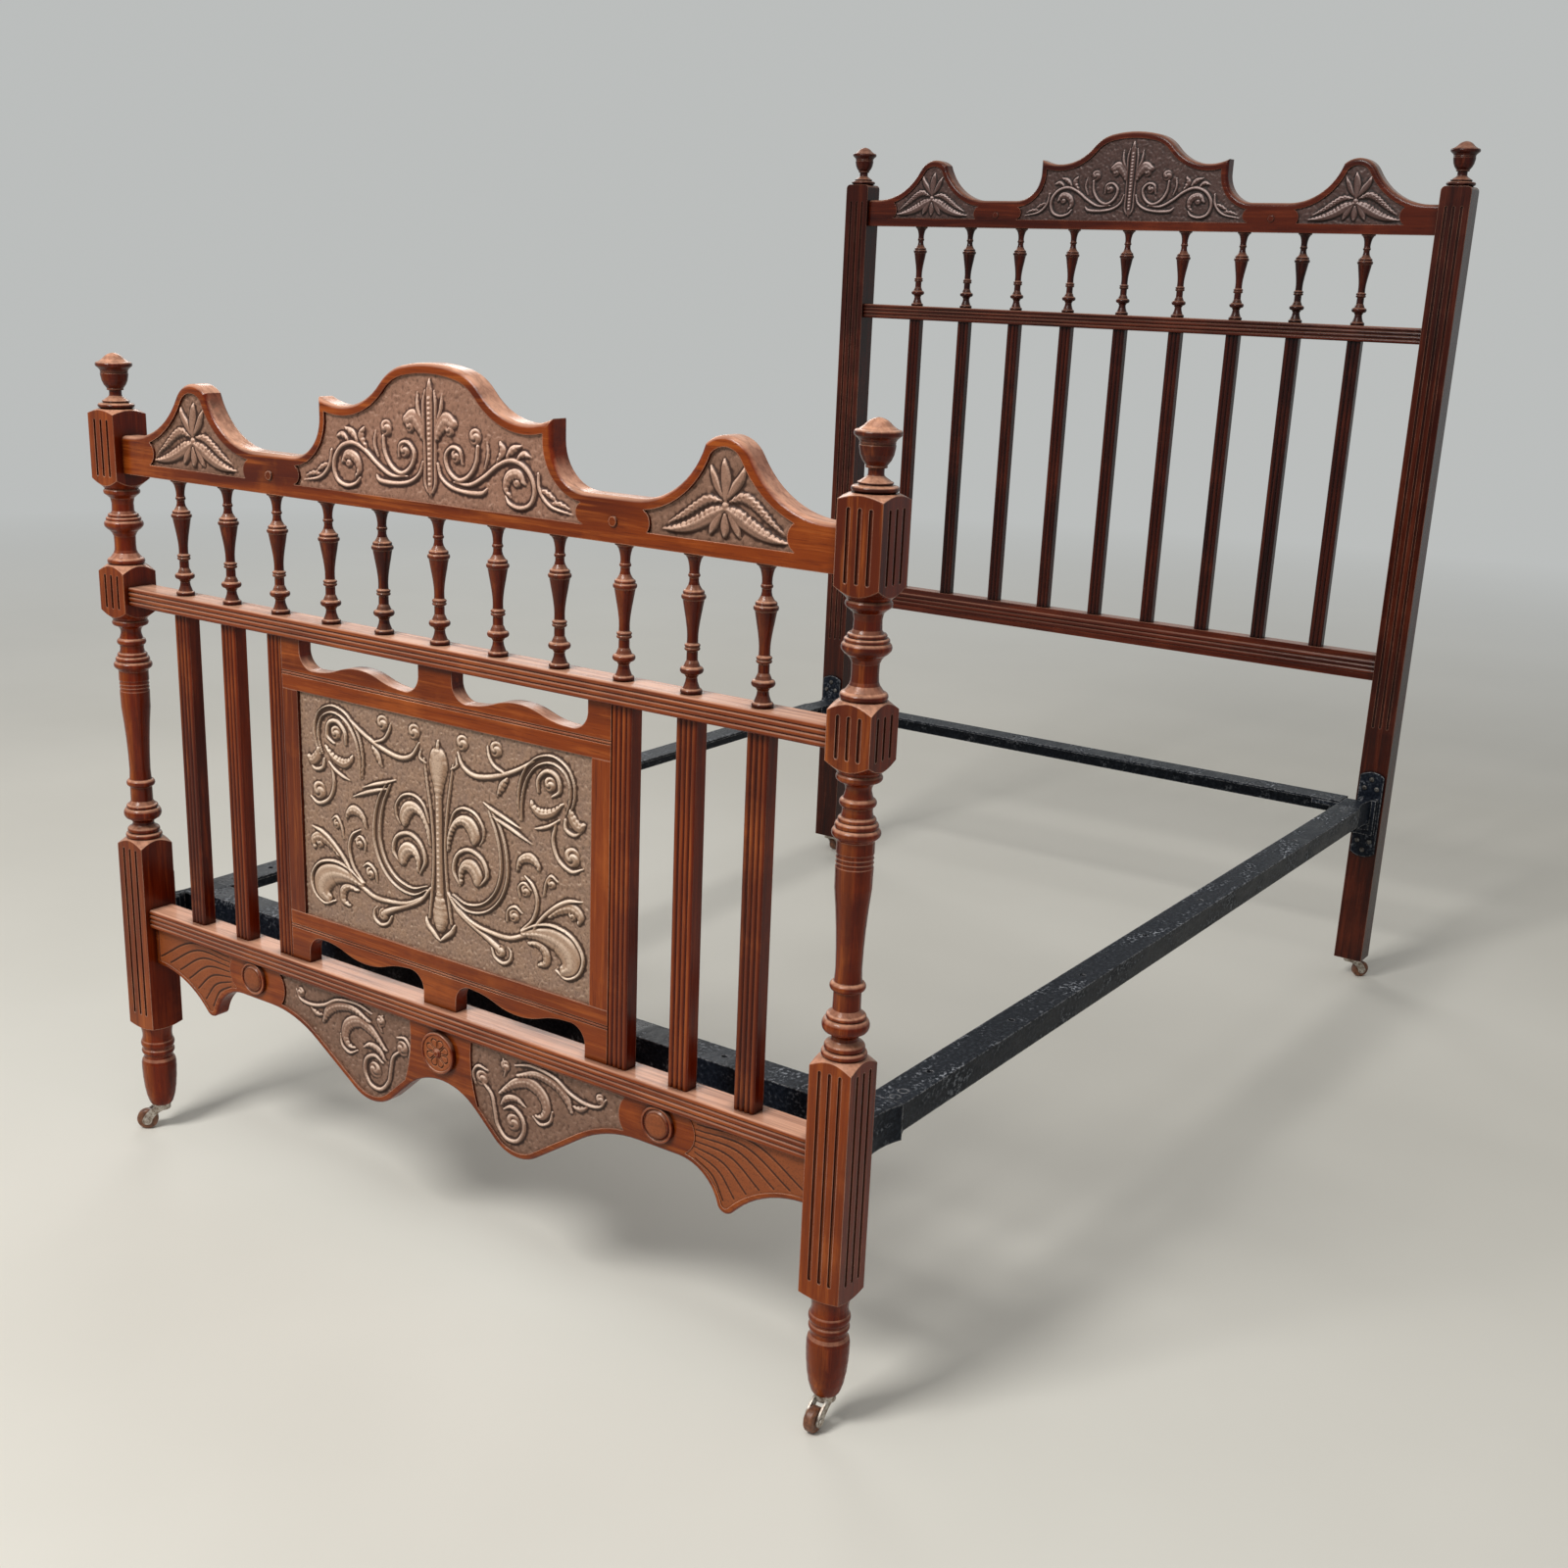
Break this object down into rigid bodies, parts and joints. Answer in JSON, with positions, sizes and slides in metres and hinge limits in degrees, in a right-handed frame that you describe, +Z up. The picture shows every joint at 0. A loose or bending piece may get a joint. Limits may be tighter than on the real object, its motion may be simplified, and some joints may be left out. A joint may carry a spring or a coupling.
{
  "type": "double bed",
  "caption": "Wooden double bed with a turned and carved footboard, a tall spindled headboard and a drop-in angle-iron base on swivel castors.",
  "frame": {"origin": "on the floor, under the middle of the bed", "axes": "+X to the right seen from the foot end, +Y from the footboard to the headboard, +Z up"},
  "size_m": [1.3846, 2.125, 1.6929],
  "materials": {
    "foot_wood": "polished reddish-brown mahogany with worn edges",
    "head_wood": "darker polished mahogany",
    "carved_wood": "dull grey-tan ground with golden-brown relief",
    "black_iron": "black japanned, scuffed grey on the upper faces",
    "cast_iron": "black, matt and worn",
    "screw_steel": "dulled steel",
    "castor_steel": "dulled steel",
    "castor_wheel": "dark brown turned wheel"
  },
  "bodies": {
    "bed": {"apron_bosses": "foot_wood", "bar_bolts": "black_iron", "bracket_screws": "screw_steel", "carved_panel": "carved_wood", "castor_plate_foot_left": "castor_steel", "castor_plate_foot_right": "castor_steel", "castor_plate_head_left": "castor_steel", "castor_plate_head_right": "castor_steel", "corner_casting_foot_left": "cast_iron", "corner_casting_foot_right": "cast_iron", "corner_casting_head_left": "cast_iron", "corner_casting_head_right": "cast_iron", "foot_apron": "foot_wood", "foot_bars_left": "foot_wood", "foot_bars_right": "foot_wood", "foot_bottom_rail": "foot_wood", "foot_crest": "foot_wood", "foot_cross_iron": "black_iron", "foot_finial_left": "foot_wood", "foot_finial_right": "foot_wood", "foot_mid_rail": "foot_wood", "foot_post_left": "foot_wood", "foot_post_right": "foot_wood", "foot_spindles": "foot_wood", "head_bars": "head_wood", "head_crest": "head_wood", "head_cross_iron": "black_iron", "head_finial_left": "head_wood", "head_finial_right": "head_wood", "head_lower_rail": "head_wood", "head_mid_rail": "head_wood", "head_post_left": "head_wood", "head_post_right": "head_wood", "head_spindles": "head_wood", "panel_bottom_rail": "foot_wood", "panel_stile_left": "foot_wood", "panel_stile_right": "foot_wood", "panel_top_rail": "foot_wood", "post_socket_foot_left": "cast_iron", "post_socket_foot_right": "cast_iron", "post_socket_head_left": "cast_iron", "post_socket_head_right": "cast_iron", "rail_rivets": "black_iron", "reeded_stile_left": "foot_wood", "reeded_stile_right": "foot_wood", "side_iron_left": "black_iron", "side_iron_right": "black_iron"},
    "swivel_foot_left": {"castor_horn_foot_left": "castor_steel", "castor_axle_foot_left": "castor_steel"},
    "wheel_foot_left": {"castor_wheel_foot_left": "castor_wheel"},
    "swivel_foot_right": {"castor_horn_foot_right": "castor_steel", "castor_axle_foot_right": "castor_steel"},
    "wheel_foot_right": {"castor_wheel_foot_right": "castor_wheel"},
    "swivel_head_left": {"castor_horn_head_left": "castor_steel", "castor_axle_head_left": "castor_steel"},
    "wheel_head_left": {"castor_wheel_head_left": "castor_wheel"},
    "swivel_head_right": {"castor_horn_head_right": "castor_steel", "castor_axle_head_right": "castor_steel"},
    "wheel_head_right": {"castor_wheel_head_right": "castor_wheel"}
  },
  "joints": [
    {"name": "swivel_foot_left", "type": "hinge", "parent": "bed", "child": "swivel_foot_left", "pos_m": [-0.66, -1.0215, 0.06], "axis": [0, 0, 1], "continuous": true},
    {"name": "spin_foot_left", "type": "hinge", "parent": "swivel_foot_left", "child": "wheel_foot_left", "pos_m": [-0.67697, -1.03847, 0.017], "axis": [0.7071, -0.7071, 0], "continuous": true},
    {"name": "swivel_foot_right", "type": "hinge", "parent": "bed", "child": "swivel_foot_right", "pos_m": [0.66, -1.0215, 0.06], "axis": [0, 0, 1], "continuous": true},
    {"name": "spin_foot_right", "type": "hinge", "parent": "swivel_foot_right", "child": "wheel_foot_right", "pos_m": [0.66, -1.0455, 0.017], "axis": [1, 0, 0], "continuous": true},
    {"name": "swivel_head_left", "type": "hinge", "parent": "bed", "child": "swivel_head_left", "pos_m": [-0.66, 1.0215, 0.06], "axis": [0, 0, 1], "continuous": true},
    {"name": "spin_head_left", "type": "hinge", "parent": "swivel_head_left", "child": "wheel_head_left", "pos_m": [-0.66, 1.0455, 0.017], "axis": [-1, 0, 0], "continuous": true},
    {"name": "swivel_head_right", "type": "hinge", "parent": "bed", "child": "swivel_head_right", "pos_m": [0.66, 1.0215, 0.06], "axis": [0, 0, 1], "continuous": true},
    {"name": "spin_head_right", "type": "hinge", "parent": "swivel_head_right", "child": "wheel_head_right", "pos_m": [0.67697, 1.03847, 0.017], "axis": [-0.7071, 0.7071, 0], "continuous": true}
  ]
}
